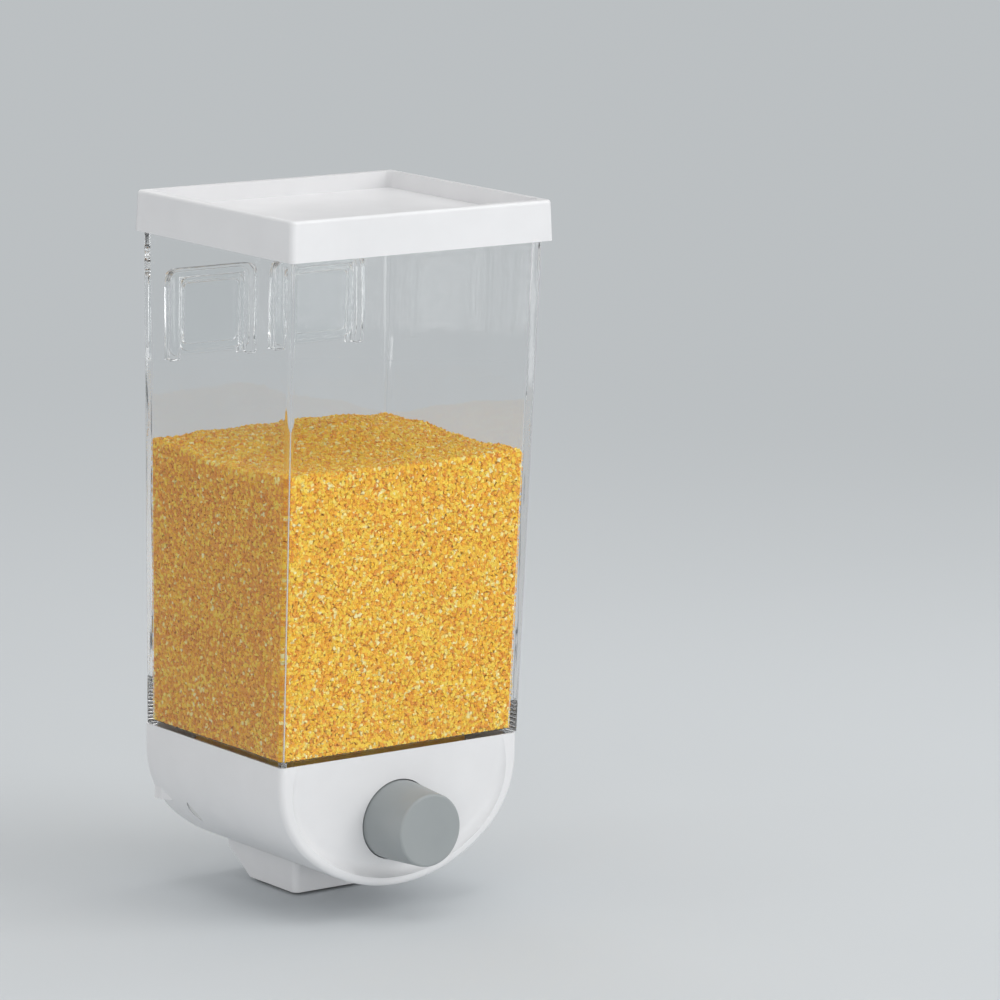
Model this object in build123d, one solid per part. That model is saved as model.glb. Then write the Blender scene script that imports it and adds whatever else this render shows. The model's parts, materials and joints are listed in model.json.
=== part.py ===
from build123d import *
import math
import os

# Wall-mounted push-button cereal dispenser. Millimetres, +Z up, X across the front.
# The wall is the plane y = 0 and the unit hangs on its -Y side. The origin lies on the wall, midway
# between the two adhesive pads. Below the seam between hopper and housing, heights are given as a
# depth under the seam, counted downward.

# ---------------------------------------------------------------- driving sizes
cutter_reach = 1.0          # how far a cutter passes the face that it opens
weld = 0.2                  # how far joined blocks run into each other
root = 1.0                  # how deep a bead, an ear or a tab is rooted in its wall

body_width = 104.5          # hopper and housing at the seam
body_depth = 85.8
wall_gap = 6.1              # wall to the back face of hopper and housing

# hopper
hopper_height = 187.7       # seam to the mouth's edge
pads_below_mouth = 38.5     # the pads' centre to the mouth's edge
hopper_wall = 2.5
hopper_side_taper = 2.4     # each side leans out by this much, seam to mouth
hopper_front_taper = 7.2
hopper_corner = 1.2
ledge_thickness = 1.6       # the inward ledge on which the hopper stands on the housing
collar_depth = 6.4          # the spigot under the ledge, inside the housing
collar_wall = 1.8
bead_length = 22.0
bead_height = 0.7
bead_tall = 1.4
bead_above_end = 1.0        # the bead's lower edge over the spigot's end
bead_clearance = 0.2
collar_clearance = 0.2

# lid
lid_overlap = 6.6           # the mouth's edge down to the skirt's lower edge
lid_overhang_side = 2.5     # skirt beyond the hopper, at the skirt's lower edge
lid_overhang_back = 2.5
lid_overhang_front = 3.6    # the finger lip
lid_draft = 0.6
lid_rim = 3.3
lid_recess_depth = 6.0
lid_floor = 1.8
lid_gap = 0.2               # the mouth's edge to the lid's underside
lid_corner = 2.2
lid_edge_fillet = 1.2
plug_wall = 2.0
plug_depth = 6.0
plug_clearance = 0.6
seal_tall = 2.4
seal_groove_depth = 0.9
seal_clearance = 0.12

# housing
housing_depth = 49.7        # seam to the lowest point of the U
housing_wall = 2.2
side_drop = 7.5             # straight length of each side under the seam
haunch_radius = 36.0        # the two side arcs of the U
housing_edge_fillet = 2.2
dish_rim = 3.4
dish_depth = 4.2            # at the bottom of the U, from nothing at the seam
dish_fillet = 4.0
window_length = 11.0        # the two leaf-shaped snap windows
window_width = 4.4
window_angle = -41.0        # where they lie on the haunch, degrees from level
window_inset = 18.3         # from the back face
tab_bottom = 28.2           # the stepped tab at each lower back corner
tab_height = 6.5
tab_length = 8.4
tab_bite = 2.0              # under its top, where the tab's side meets the haunch
tab_slope = 3.0             # how far the tab's side runs in towards its front end
shelf_width = 1.3
shelf_thickness = 2.0
shelf_gap = 0.1             # flange to shelf
slot_reach = 8.0            # the chute's slot is cut this far up from the lowest point
dish_reach = 14.0           # how far the dish's cutter stands in front of the face

# funnel and its gasket
gasket_thickness = 0.9
flange_thickness = 1.4
funnel_wall = 1.7
throat_half_width = 13.0
throat_above_belly = 13.7   # the slopes' end over the housing's lowest point
throat_tube = 2.0
throat_seal_thickness = 1.0
bore_overlap = 0.8          # the throat's bore runs this far up into the slopes
tunnel_clearance = 1.0      # button to the tunnel that the food flows round
tunnel_wall = 1.4
tunnel_end_gap = 1.2        # bulkhead to the tunnel's closed end

# button, spring and gate
button_above_belly = 24.0   # the button's axis over the housing's lowest point
button_radius = 14.6
button_end_radius = 13.3
button_stands_out = 18.4    # from the front face
button_wall = 1.8
button_end_fillet = 1.1
button_hole_clearance = 0.4
button_tail = 8.4           # from the front face to the cup's inner end
button_stroke = 13.0
stop_ring_width = 3.2
ring_below_shelf = 1.5
ear_reach = 2.6
ear_thickness = 1.8
ear_tall = 6.0
ear_below_axis = 1.3
ear_gap = 0.3               # ear to the stop ring, with the button out
screw_offset = 9.3
screw_boss_radius = 2.3
screw_radius = 1.1
screw_head_radius = 2.0
screw_head_height = 1.5
screw_length = 8.0
screw_hole_clearance = 0.3
screw_head_fillet = 0.5
cross_length = 2.4          # the cross slot in each screw head
cross_width = 0.5
cross_depth = 0.6
spring_radius = 5.0         # coil centre line
spring_wire = 0.9
spring_turns = 9
spring_end_gap = 0.05
spring_hole_clearance = 1.1 # coil to the hole in the gate's upright plate
spring_seat_radius = 3.5    # pin and nib inside the coil's two ends
pin_length = 14.0
pin_chamfer = 0.6
stud_radius = 2.5           # the pin's end in the bulkhead
nib_length = 5.3
gate_thickness = 1.8
gate_half_width = 17.6
gate_gap = 0.3              # gate to seal, and gate to its rails
gate_lap = 1.4              # gate beyond the throat's front edge, and its web before the window
gate_tail_lap = 2.5         # gate beyond the throat's back edge
gate_front_gap = 1.8        # bulkhead to the gate's front web
gate_back_gap = 2.2         # gate to the housing's back wall, with the button in
gate_window_half_width = 12.6
gate_neck_half_width = 9.0
tab_plate = 1.8             # the gate's upright plate behind the button
tab_radius = 12.4
tab_gap = 0.6               # cup's inner end to the upright plate

# valve body
valve_plate = 2.0
rail_outer = 20.0
rail_clearance = 0.7
rail_lip = 1.3
rail_gap = 0.2              # gate to the rails, above and below
tube_clearance = 0.4        # throat tube to the plate's opening
rail_step = 0.2             # the opening's edge to the rail
rail_weld = 0.5
valve_gap = 0.2             # slopes' end to the plate
valve_rear_gap = 1.0        # gate's end to the rails' end, with the button in
bulkhead_thickness = 1.8
bulkhead_half_width = 6.3
bulkhead_gap = 0.5          # gate's upright plate to the bulkhead with the button in
arm_thickness = 1.8
arm_length = 8.0
snap_clearance = 0.3
barb_clearance = 0.3        # barb to the edge of its window
barb_inset = 0.4            # barb's face under the haunch's outer face

# outlet chute
chute_half_width = 18.0
chute_before_throat = 2.3
chute_off_back_wall = 0.9
chute_below_housing = 9.3
chute_slant_run = 14.3      # how far the back wall leans forward below the housing
chute_wall = 1.8
chute_corner = 2.6          # the two upright front corners
chute_clearance = 0.15
chute_flange = 3.2
chute_gap = 0.2             # rails to the chute's flange

# wall hooks, pads and bumpers
hook_offset = 23.0          # each hook's centre, either side of the middle
hook_width = 28.6
hook_height = 27.0
hook_thickness = 2.0
hook_corner = 4.0
hook_neck_width = 23.6
hook_neck_height = 22.0
base_plate_width = 35.0
base_plate_height = 31.0
base_plate_thickness = 1.0
neck_corner = 2.0
pocket_wall_gap = 0.3       # pocket to the base plate
pad_thickness = 0.8
pad_margin = 0.5            # pad inside the base plate's edge
pocket_clearance = 0.35
pocket_side = 4.3
pocket_top = 3.0
pocket_bottom = -16.3
pocket_lip = 2.0
pocket_seat_gap = 0.2       # pocket's roof over the hook's top edge
bumper_radius = 6.0
bumper_offset = 34.0
bumper_depth = 18.0
bumper_fillet = 1.0

# ---------------------------------------------------------------- worked-out places
seam_z = pads_below_mouth - hopper_height
back_y = -wall_gap
front_y = back_y - body_depth
half_width = body_width / 2
mouth_z = seam_z + hopper_height
lid_under_z = mouth_z + lid_gap
lid_top_z = lid_under_z + lid_floor + lid_recess_depth
skirt_z = mouth_z - lid_overlap

collar_half = half_width - housing_wall - collar_clearance
collar_front = front_y + housing_wall + collar_clearance
collar_back = back_y - housing_wall - collar_clearance
bore_half = collar_half - collar_wall
bore_front = collar_front + collar_wall
bore_back = collar_back - collar_wall

gasket_top = collar_depth
flange_top = gasket_top + gasket_thickness
flange_bottom = flange_top + flange_thickness
shelf_top = flange_bottom + shelf_gap

button_depth = housing_depth - button_above_belly
button_rear = front_y + button_tail
button_end = front_y - button_stands_out
tab_front = button_rear + tab_gap
tab_back = tab_front + tab_plate
bulkhead_front = tab_back + button_stroke + bulkhead_gap
bulkhead_back = bulkhead_front + bulkhead_thickness
tunnel_radius = button_radius + tunnel_clearance
tunnel_end = bulkhead_back + tunnel_end_gap

throat_top = housing_depth - throat_above_belly
throat_bottom = throat_top + throat_tube
seal_bottom = throat_bottom + throat_seal_thickness
gate_top = seal_bottom + gate_gap
gate_bottom = gate_top + gate_thickness
rail_bottom = gate_bottom + rail_gap + rail_lip
chute_top = rail_bottom + chute_gap
throat_front = bulkhead_front + gate_front_gap + 2 * gate_lap + button_stroke
throat_back = back_y - housing_wall - gate_back_gap - button_stroke - gate_tail_lap
chute_front = throat_front - chute_before_throat
chute_back = back_y - housing_wall - chute_off_back_wall
snap_window_y = back_y - window_inset
gate_window_back = throat_front - gate_lap
gate_window_front = gate_window_back - button_stroke
gate_rear = throat_back + gate_tail_lap
valve_top = throat_top + valve_gap
valve_bottom = valve_top + valve_plate
valve_rear = gate_rear + button_stroke + valve_rear_gap

hook_front = back_y + pocket_clearance
hook_back = hook_front + hook_thickness
base_plate_front = -pad_thickness - base_plate_thickness
pocket_back = base_plate_front - pocket_wall_gap
lip_front = hook_back + pocket_clearance


# ---------------------------------------------------------------- helpers
def depth_z(depth):
    """Height of a place that lies so far under the seam."""
    return seam_z - depth


def block(x0, x1, y0, y1, z0, z1):
    """An upright box between two corners."""
    centre = Pos((x0 + x1) / 2, (y0 + y1) / 2, (z0 + z1) / 2)
    return centre * Box(abs(x1 - x0), abs(y1 - y0), abs(z1 - z0))


def level_face(half, y0, y1, z, corner):
    """A level rectangle with rounded corners, centred on x = 0."""
    place = Pos(0, (y0 + y1) / 2, z)
    if corner > 0:
        return place * RectangleRounded(2 * half, y1 - y0, corner)
    return place * Rectangle(2 * half, y1 - y0)


def tapered(low, high, corner=0.0):
    """A solid between two level rectangles, each given as (half width, y front, y back, z)."""
    faces = [level_face(*rectangle, corner) for rectangle in (low, high)]
    return loft(faces, ruled=True)


def rod(radius, y0, y1, x=0.0, depth=0.0, end_radius=None):
    """A cylinder or cone along Y, from y0 to y1."""
    length = y1 - y0
    if end_radius is None:
        solid = Cylinder(radius, length)
    else:
        solid = Cone(radius, end_radius, length)
    return Pos(x, (y0 + y1) / 2, depth_z(depth)) * Rot(-90, 0, 0) * solid


def side_prism(points, half):
    """A prism across the body, from a list of (y, z) corners."""
    outline = Polyline(*points, close=True)
    return extrude(Plane.YZ * make_face(outline), amount=half, both=True)


# The housing's U: two haunch arcs and one belly arc, tangent to each other and to the sides.
haunch_x = half_width - haunch_radius
under_haunch = housing_depth - side_drop
belly_reach = haunch_x**2 + under_haunch**2 - haunch_radius**2
belly_radius = belly_reach / (2 * (under_haunch - haunch_radius))
belly_z = belly_radius - housing_depth
meeting_angle = math.atan2(-side_drop - belly_z, haunch_x)


def u_outline(inset, top):
    """The U's outline moved inward by inset, closed by a level line at top above the seam."""
    haunch = haunch_radius - inset
    belly = belly_radius - inset
    half = half_width - inset
    bisector = meeting_angle / 2
    middle = (haunch_x + haunch * math.cos(bisector), haunch * math.sin(bisector) - side_drop)
    meet = (belly * math.cos(meeting_angle), belly_z + belly * math.sin(meeting_angle))
    right = [Line((half, top), (half, -side_drop)), ThreePointArc((half, -side_drop), middle, meet)]
    bottom = ThreePointArc(meet, (0, belly_z - belly), (-meet[0], meet[1]))
    left = [ThreePointArc((-meet[0], meet[1]), (-middle[0], middle[1]), (-half, -side_drop)),
            Line((-half, -side_drop), (-half, top))]
    return make_face(Curve() + [*right, bottom, *left, Line((-half, top), (half, top))])


def u_prism(inset, y0, y1, top=0.0):
    """The U's outline as a solid between two planes square to Y."""
    place = Plane(origin=(0, y0, seam_z), x_dir=(1, 0, 0), z_dir=(0, -1, 0))
    return extrude(place * u_outline(inset, top), amount=-(y1 - y0))


def depth_slab(top, bottom, y0=front_y, y1=back_y):
    """Everything of the body between two depths."""
    return block(-body_width, body_width, y0, y1, depth_z(bottom), depth_z(top))


def both_sides(solid):
    """A solid and its mirror image across the middle."""
    return solid + mirror(solid, about=Plane.YZ)


# ---------------------------------------------------------------- hopper and lid
def hopper_section(height, inset):
    """The hopper's outline at a height over the seam, moved inward by inset."""
    lean = height / hopper_height
    half = half_width + hopper_side_taper * lean - inset
    front = front_y - hopper_front_taper * lean + inset
    return half, front, back_y - inset, seam_z + height


def pocket(x):
    """An arch-shaped pocket on the hopper's back, open below, that drops over a wall hook."""
    inner = hook_width / 2 + pocket_clearance
    roof = hook_height / 2 + pocket_seat_gap
    top = roof + pocket_top
    outer = inner + pocket_side
    arch = block(x - outer, x + outer, back_y, pocket_back, pocket_bottom, top)
    arch = fillet(arch.edges().filter_by(Axis.Y).group_by(Axis.Z)[-1], hook_corner)
    open_end = pocket_bottom - cutter_reach
    room = block(x - inner, x + inner, back_y, lip_front, open_end, roof)
    mouth_half = inner - pocket_lip
    mouth = block(x - mouth_half, x + mouth_half, lip_front - cutter_reach, pocket_back + cutter_reach,
                  open_end, roof - pocket_lip)
    return arch - room - mouth


def make_hopper():
    shell = tapered(hopper_section(0, 0), hopper_section(hopper_height, 0), hopper_corner)
    room = tapered(hopper_section(ledge_thickness, hopper_wall), hopper_section(hopper_height, hopper_wall),
                   hopper_corner)
    bore = block(-bore_half, bore_half, bore_front, bore_back,
                 depth_z(collar_depth), seam_z + ledge_thickness)
    collar = block(-collar_half, collar_half, collar_front, collar_back, depth_z(collar_depth), seam_z)
    bead_x = collar_half + bead_height
    middle_y = (front_y + back_y) / 2
    bead_foot = collar_depth - bead_above_end
    bead = block(collar_half - root, bead_x, middle_y - bead_length / 2, middle_y + bead_length / 2,
                 depth_z(bead_foot), depth_z(bead_foot - bead_tall))
    body = shell + collar + both_sides(bead) - room - bore
    return body + pocket(hook_offset) + pocket(-hook_offset)


def make_lid():
    half, front, back, _ = hopper_section(skirt_z - seam_z, 0)
    low = (half + lid_overhang_side, front - lid_overhang_front, back + lid_overhang_back, skirt_z)
    high = (low[0] - lid_draft, low[1] + lid_draft, low[2] - lid_draft, lid_top_z)
    cap = tapered(low, high, lid_corner)
    cap = fillet(cap.faces().sort_by(Axis.Z)[-1].edges(), lid_edge_fillet)
    floor_z = lid_top_z - lid_recess_depth
    recess_high = (high[0] - lid_rim, high[1] + lid_rim, high[2] - lid_rim, lid_top_z)
    recess_low = (recess_high[0] - lid_draft, recess_high[1] + lid_draft, recess_high[2] - lid_draft,
                  floor_z)
    cap -= tapered(recess_low, recess_high, lid_corner)
    mouth_half, mouth_front, mouth_back, _ = hopper_section(hopper_height, -pocket_clearance)
    cap -= block(-mouth_half, mouth_half, mouth_front, mouth_back, skirt_z - cutter_reach, lid_under_z)
    return cap + plug_ring(plug_clearance, plug_wall, lid_under_z - plug_depth, lid_under_z) - seal_ring()


def plug_ring(clearance, wall, z0, z1):
    """A rectangular ring inside the hopper's mouth, a clearance away from its walls."""
    half, front, back, _ = hopper_section(skirt_z - seam_z, hopper_wall + clearance)
    outer = tapered((half, front, back, z0), (half, front, back, z1), hopper_corner)
    inner_place = (half - wall, front + wall, back - wall)
    below, above = z0 - cutter_reach, z1 + cutter_reach
    return outer - tapered((*inner_place, below), (*inner_place, above), hopper_corner)


def seal_ring():
    """The silicone ring: it lies in the plug's groove and stands proud of it."""
    z1 = lid_under_z - (plug_depth - seal_tall) / 2
    width = plug_clearance - seal_clearance + seal_groove_depth
    return plug_ring(seal_clearance, width, z1 - seal_tall, z1)


# ---------------------------------------------------------------- housing
def dish_cutter():
    """The shallow dish in the front face: a filleted U that leans back from the seam down."""
    lean = math.degrees(math.atan2(dish_depth, housing_depth))
    cutter = u_prism(dish_rim, front_y - dish_reach, front_y, top=half_width)
    back_edges = cutter.faces().sort_by(Axis.Y)[-1].edges()
    cutter = fillet(back_edges, dish_fillet)
    pivot = Pos(0, front_y, seam_z)
    return pivot * Rot(lean, 0, 0) * pivot.inverse() * cutter


def snap_leaf(inset=0.0):
    """A leaf-shaped prism through the haunch at the snap window, its edge moved inward by inset."""
    angle = math.radians(window_angle)
    outward = (math.cos(angle), 0, math.sin(angle))
    centre = (haunch_x + haunch_radius * outward[0], snap_window_y,
              depth_z(side_drop) + haunch_radius * outward[2])
    plane = Plane(origin=centre, x_dir=(0, 1, 0), z_dir=outward)
    tip = window_length / 2 - inset * window_length / window_width
    bulge = window_width / 2 - inset
    edges = [ThreePointArc((0, tip), (bulge, 0), (0, -tip)), ThreePointArc((0, -tip), (-bulge, 0), (0, tip))]
    return extrude(plane * make_face(Curve() + edges), amount=2 * housing_wall, both=True)


def make_housing():
    outer = u_prism(0, front_y, back_y)
    front_edges = outer.faces().sort_by(Axis.Y)[0].edges()
    outer = fillet(front_edges.sort_by(Axis.Z)[:-1], housing_edge_fillet)
    drop = tab_bottom - tab_height + tab_bite - side_drop
    tab_x = haunch_x + math.sqrt(haunch_radius**2 - drop**2)
    tab_front_y = back_y - tab_length
    tab_outline = Polyline((haunch_x, tab_front_y), (tab_x - tab_slope, tab_front_y),
                           (tab_x, back_y - tab_length / 2), (tab_x, back_y), (haunch_x, back_y), close=True)
    tab = extrude(Pos(0, 0, depth_z(tab_bottom)) * make_face(tab_outline), amount=tab_height)
    outer += both_sides(tab)
    lean = dish_depth / housing_depth
    inner_front = front_y + housing_wall
    shelf_foot = shelf_top + shelf_thickness
    foot = housing_depth + cutter_reach
    head = -2 * cutter_reach
    before = front_y - cutter_reach
    front_wall = side_prism([(before, depth_z(head)), (inner_front, depth_z(head)),
                             (inner_front, depth_z(shelf_foot)),
                             (inner_front + lean * shelf_foot, depth_z(shelf_foot)),
                             (inner_front + lean * foot, depth_z(foot)),
                             (before, depth_z(foot))], body_width)
    cavity = u_prism(housing_wall, inner_front, back_y - housing_wall, top=cutter_reach) - front_wall
    shelf_half = half_width - housing_wall - shelf_width
    shelf = u_prism(housing_wall - weld, inner_front - weld, back_y - housing_wall + weld)
    shelf &= depth_slab(shelf_top, shelf_foot)
    shelf -= block(-shelf_half, shelf_half, inner_front + shelf_width, back_y - housing_wall - shelf_width,
                   depth_z(housing_depth), seam_z)
    hole_radius = button_radius + button_hole_clearance
    stop_y = button_rear - ear_thickness - ear_gap
    stop_ring = rod(hole_radius + stop_ring_width, front_y + weld, stop_y, depth=button_depth)
    stop_ring &= depth_slab(shelf_foot + ring_below_shelf, housing_depth)
    shell = outer - cavity + shelf + stop_ring - dish_cutter()
    shell -= rod(hole_radius, before, stop_y + cutter_reach, depth=button_depth)
    slot_half = chute_half_width + chute_clearance
    shell -= block(-slot_half, slot_half, chute_front - chute_clearance, chute_back + chute_clearance,
                   depth_z(foot), depth_z(housing_depth - slot_reach))
    shell -= both_sides(snap_leaf())
    middle_y = (front_y + back_y) / 2
    groove_x = collar_half + bead_height + bead_clearance
    groove_reach = bead_length / 2 + bead_clearance
    bead_foot = collar_depth - bead_above_end
    groove = block(collar_half - root, groove_x, middle_y - groove_reach, middle_y + groove_reach,
                   depth_z(bead_foot + bead_clearance), depth_z(bead_foot - bead_tall - bead_clearance))
    return shell - both_sides(groove)


# ---------------------------------------------------------------- funnel
def make_funnel():
    inner_low = (throat_half_width, throat_front, throat_back, depth_z(throat_top))
    inner_high = (bore_half, bore_front, bore_back, depth_z(flange_top))
    inner = tapered(inner_low, inner_high)
    outer_low = (throat_half_width + funnel_wall, throat_front - funnel_wall, throat_back + funnel_wall,
                 depth_z(throat_top))
    shoulder = shelf_width - collar_clearance
    outer_high = (collar_half - shoulder, collar_front + shoulder, collar_back - shoulder,
                  depth_z(flange_bottom))
    outer = tapered(outer_low, outer_high)
    flange = block(-collar_half, collar_half, collar_front, collar_back,
                   depth_z(flange_bottom), depth_z(flange_top))
    tube = block(-outer_low[0], outer_low[0], outer_low[1], outer_low[2],
                 depth_z(throat_bottom), depth_z(throat_top))
    tube_bore = block(-inner_low[0], inner_low[0], inner_low[1], inner_low[2],
                      depth_z(throat_bottom + cutter_reach), depth_z(throat_top - bore_overlap))
    tunnel = rod(tunnel_radius + tunnel_wall, front_y, tunnel_end + tunnel_wall, depth=button_depth)
    tunnel_room = rod(tunnel_radius, front_y - cutter_reach, tunnel_end, depth=button_depth)
    return outer + flange + tube - (inner - tunnel) - tube_bore - tunnel_room


def make_gasket():
    outer = block(-collar_half, collar_half, collar_front, collar_back,
                  depth_z(flange_top), depth_z(gasket_top))
    return outer - block(-bore_half, bore_half, bore_front, bore_back,
                         depth_z(flange_top + cutter_reach), seam_z)


def make_throat_seal():
    half = throat_half_width + funnel_wall
    outer = block(-half, half, throat_front - funnel_wall, throat_back + funnel_wall,
                  depth_z(seal_bottom), depth_z(throat_bottom))
    return outer - block(-throat_half_width, throat_half_width, throat_front, throat_back,
                         depth_z(seal_bottom + cutter_reach), depth_z(throat_bottom - cutter_reach))


# ---------------------------------------------------------------- button, spring and gate
def make_button():
    taper = (button_radius - button_end_radius) / (front_y - button_end)
    tail = rod(button_radius, front_y, button_rear, depth=button_depth)
    nose = rod(button_end_radius, button_end, front_y, depth=button_depth, end_radius=button_radius)
    nose = fillet(nose.edges().sort_by(Axis.Y)[0], button_end_fillet)
    face = button_end + button_wall
    room_radius = button_radius - button_wall
    room = rod(room_radius, front_y, button_rear + cutter_reach, depth=button_depth)
    face_radius = room_radius - taper * (front_y - face)
    room += rod(face_radius, face, front_y, depth=button_depth, end_radius=room_radius)
    cup = tail + nose - room
    for side in (-1, 1):
        boss = rod(screw_boss_radius, face, tab_front, x=side * screw_offset, depth=button_depth)
        pilot = rod(screw_radius, tab_front - screw_length, tab_front + cutter_reach, x=side * screw_offset,
                    depth=button_depth)
        cup = cup + boss - pilot
        ear_depth = button_depth + ear_below_axis
        inner, outer = side * (button_radius - root), side * (button_radius + ear_reach)
        cup += block(inner, outer, button_rear - ear_thickness, button_rear,
                     depth_z(ear_depth + ear_tall), depth_z(ear_depth)) - room
    return cup + rod(spring_seat_radius, face, face + nib_length, depth=button_depth)


def make_gate():
    plate = block(-gate_half_width, gate_half_width, gate_window_front - gate_lap, gate_rear,
                  depth_z(gate_bottom), depth_z(gate_top))
    plate += block(-gate_neck_half_width, gate_neck_half_width, tab_front, gate_window_front,
                   depth_z(gate_bottom), depth_z(gate_top))
    plate -= block(-gate_window_half_width, gate_window_half_width, gate_window_front, gate_window_back,
                   depth_z(gate_bottom + cutter_reach), depth_z(gate_top - cutter_reach))
    upright = rod(tab_radius, tab_front, tab_back, depth=button_depth)
    upright += block(-gate_neck_half_width, gate_neck_half_width, tab_front, tab_back,
                     depth_z(gate_bottom), depth_z(button_depth))
    before, behind = tab_front - cutter_reach, tab_back + cutter_reach
    spring_hole = spring_radius + spring_wire / 2 + spring_hole_clearance
    upright -= rod(spring_hole, before, behind, depth=button_depth)
    for side in (-1, 1):
        upright -= rod(screw_radius + screw_hole_clearance, before, behind, x=side * screw_offset,
                       depth=button_depth)
    return plate + upright


def make_gate_screws():
    screws = []
    for side in (-1, 1):
        x = side * screw_offset
        shank = rod(screw_radius, tab_back - screw_length, tab_back, x=x, depth=button_depth)
        head = rod(screw_head_radius, tab_back, tab_back + screw_head_height, x=x, depth=button_depth)
        head = fillet(head.edges().sort_by(Axis.Y)[-1], screw_head_fillet)
        cross = Pos(x, tab_back + screw_head_height, seam_z - button_depth)
        slot = cross * (Box(cross_length, 2 * cross_depth, cross_width)
                        + Box(cross_width, 2 * cross_depth, cross_length))
        screws.append(shank + head - slot)
    return Compound(children=screws)


def make_spring():
    start = button_end + button_wall + spring_end_gap + spring_wire / 2
    length = bulkhead_front - spring_end_gap - spring_wire / 2 - start
    coil = Helix(pitch=length / spring_turns, height=length, radius=spring_radius)
    place = Pos(0, start, depth_z(button_depth)) * Rot(-90, 0, 0)
    section = Plane(origin=coil @ 0, z_dir=coil % 0) * Circle(spring_wire / 2)
    return place * sweep(section, path=coil)


def make_spring_pin():
    pin = rod(spring_seat_radius, bulkhead_front - pin_length, bulkhead_front, depth=button_depth)
    pin = chamfer(pin.edges().sort_by(Axis.Y)[0], pin_chamfer)
    stud = rod(stud_radius, bulkhead_front, bulkhead_back, depth=button_depth)
    return pin + stud


# ---------------------------------------------------------------- valve body and chute
def make_valve_body():
    plate = block(-half_width, half_width, bulkhead_front, valve_rear,
                  depth_z(valve_bottom), depth_z(valve_top))
    tube_rim = funnel_wall + tube_clearance
    tube_half = throat_half_width + tube_rim
    plate -= block(-tube_half, tube_half, throat_front - tube_rim, throat_back + tube_rim,
                   depth_z(valve_bottom + cutter_reach), depth_z(valve_top - cutter_reach))
    rail_inner = tube_half + rail_step
    rail = block(rail_inner, rail_outer, bulkhead_front, valve_rear,
                 depth_z(rail_bottom), depth_z(valve_bottom - rail_weld))
    before, behind = bulkhead_front - cutter_reach, valve_rear + cutter_reach
    rail -= block(rail_inner - cutter_reach, gate_half_width + gate_gap, before, behind,
                  depth_z(gate_bottom + rail_gap), depth_z(gate_top - rail_gap))
    rail -= block(rail_inner - cutter_reach, rail_inner + rail_clearance, before, behind,
                  depth_z(rail_bottom + cutter_reach), depth_z(gate_bottom))
    bulkhead = block(-bulkhead_half_width, bulkhead_half_width, bulkhead_front, bulkhead_back,
                     depth_z(valve_bottom), depth_z(button_depth))
    bulkhead += rod(bulkhead_half_width, bulkhead_front, bulkhead_back, depth=button_depth)
    bulkhead -= rod(stud_radius, before, bulkhead_back + cutter_reach, depth=button_depth)
    arm_inset = housing_wall + snap_clearance
    inside = u_prism(arm_inset, front_y + weld, back_y - weld)
    band = inside - u_prism(arm_inset + arm_thickness, front_y, back_y)
    window_depth = side_drop - haunch_radius * math.sin(math.radians(window_angle))
    barb_band = u_prism(barb_inset, front_y + weld, back_y - weld)
    barb_band -= u_prism(arm_inset + weld, front_y, back_y)
    arm = band & block(rail_outer, body_width, snap_window_y - arm_length / 2, snap_window_y + arm_length / 2,
                       depth_z(valve_bottom), depth_z(window_depth - window_length / 2))
    arm += barb_band & snap_leaf(barb_clearance)
    return ((plate + both_sides(rail)) & inside) + bulkhead + both_sides(arm)


def make_chute():
    outlet = housing_depth + chute_below_housing
    outer = side_prism([(chute_front, depth_z(chute_top)), (chute_back, depth_z(chute_top)),
                        (chute_back, depth_z(housing_depth)), (chute_back - chute_slant_run, depth_z(outlet)),
                        (chute_front, depth_z(outlet))], chute_half_width)
    outer = fillet(outer.edges().filter_by(Axis.Z).group_by(Axis.Y)[0], chute_corner)
    slant = math.hypot(chute_slant_run, chute_below_housing) / chute_below_housing
    room_back = chute_back - chute_wall
    room_foot = chute_back - chute_slant_run - chute_wall * slant
    bend = (room_back - room_foot) * chute_below_housing / chute_slant_run
    step = chute_slant_run / chute_below_housing
    room_front = chute_front + chute_wall
    above = depth_z(chute_top - cutter_reach)
    below = depth_z(outlet + cutter_reach)
    inner = side_prism([(room_front, above), (room_back, above), (room_back, depth_z(outlet - bend)),
                        (room_foot - step * cutter_reach, below), (room_front, below)],
                       chute_half_width - chute_wall)
    flange_half = chute_half_width + chute_flange
    flange = block(-flange_half, flange_half, chute_front - chute_flange, chute_back, depth_z(housing_depth),
                   depth_z(chute_top))
    flange &= u_prism(housing_wall + chute_clearance, front_y, back_y)
    return outer + flange - inner


# ---------------------------------------------------------------- wall hooks
def upright_plate(x, width, height, y0, y1, corner):
    """An upright plate with rounded corners, centred at height 0, between two planes square to Y."""
    place = Plane(origin=(x, y0, 0), x_dir=(1, 0, 0), z_dir=(0, 1, 0))
    return extrude(place * RectangleRounded(width, height, corner), amount=y1 - y0)


def make_hook(x):
    base = upright_plate(x, base_plate_width, base_plate_height, base_plate_front, -pad_thickness,
                         hook_corner)
    neck = upright_plate(x, hook_neck_width, hook_neck_height, hook_back - weld, base_plate_front + weld,
                         neck_corner)
    plate = upright_plate(x, hook_width, hook_height, hook_front, hook_back, hook_corner)
    return base + neck + plate


def make_pad(x):
    width = base_plate_width - 2 * pad_margin
    height = base_plate_height - 2 * pad_margin
    return upright_plate(x, width, height, -pad_thickness, 0, hook_corner - pad_margin)


def make_bumper(x):
    bumper = rod(bumper_radius, back_y, 0, x=x, depth=bumper_depth)
    return fillet(bumper.edges().sort_by(Axis.Y)[-1], bumper_fillet)


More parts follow.
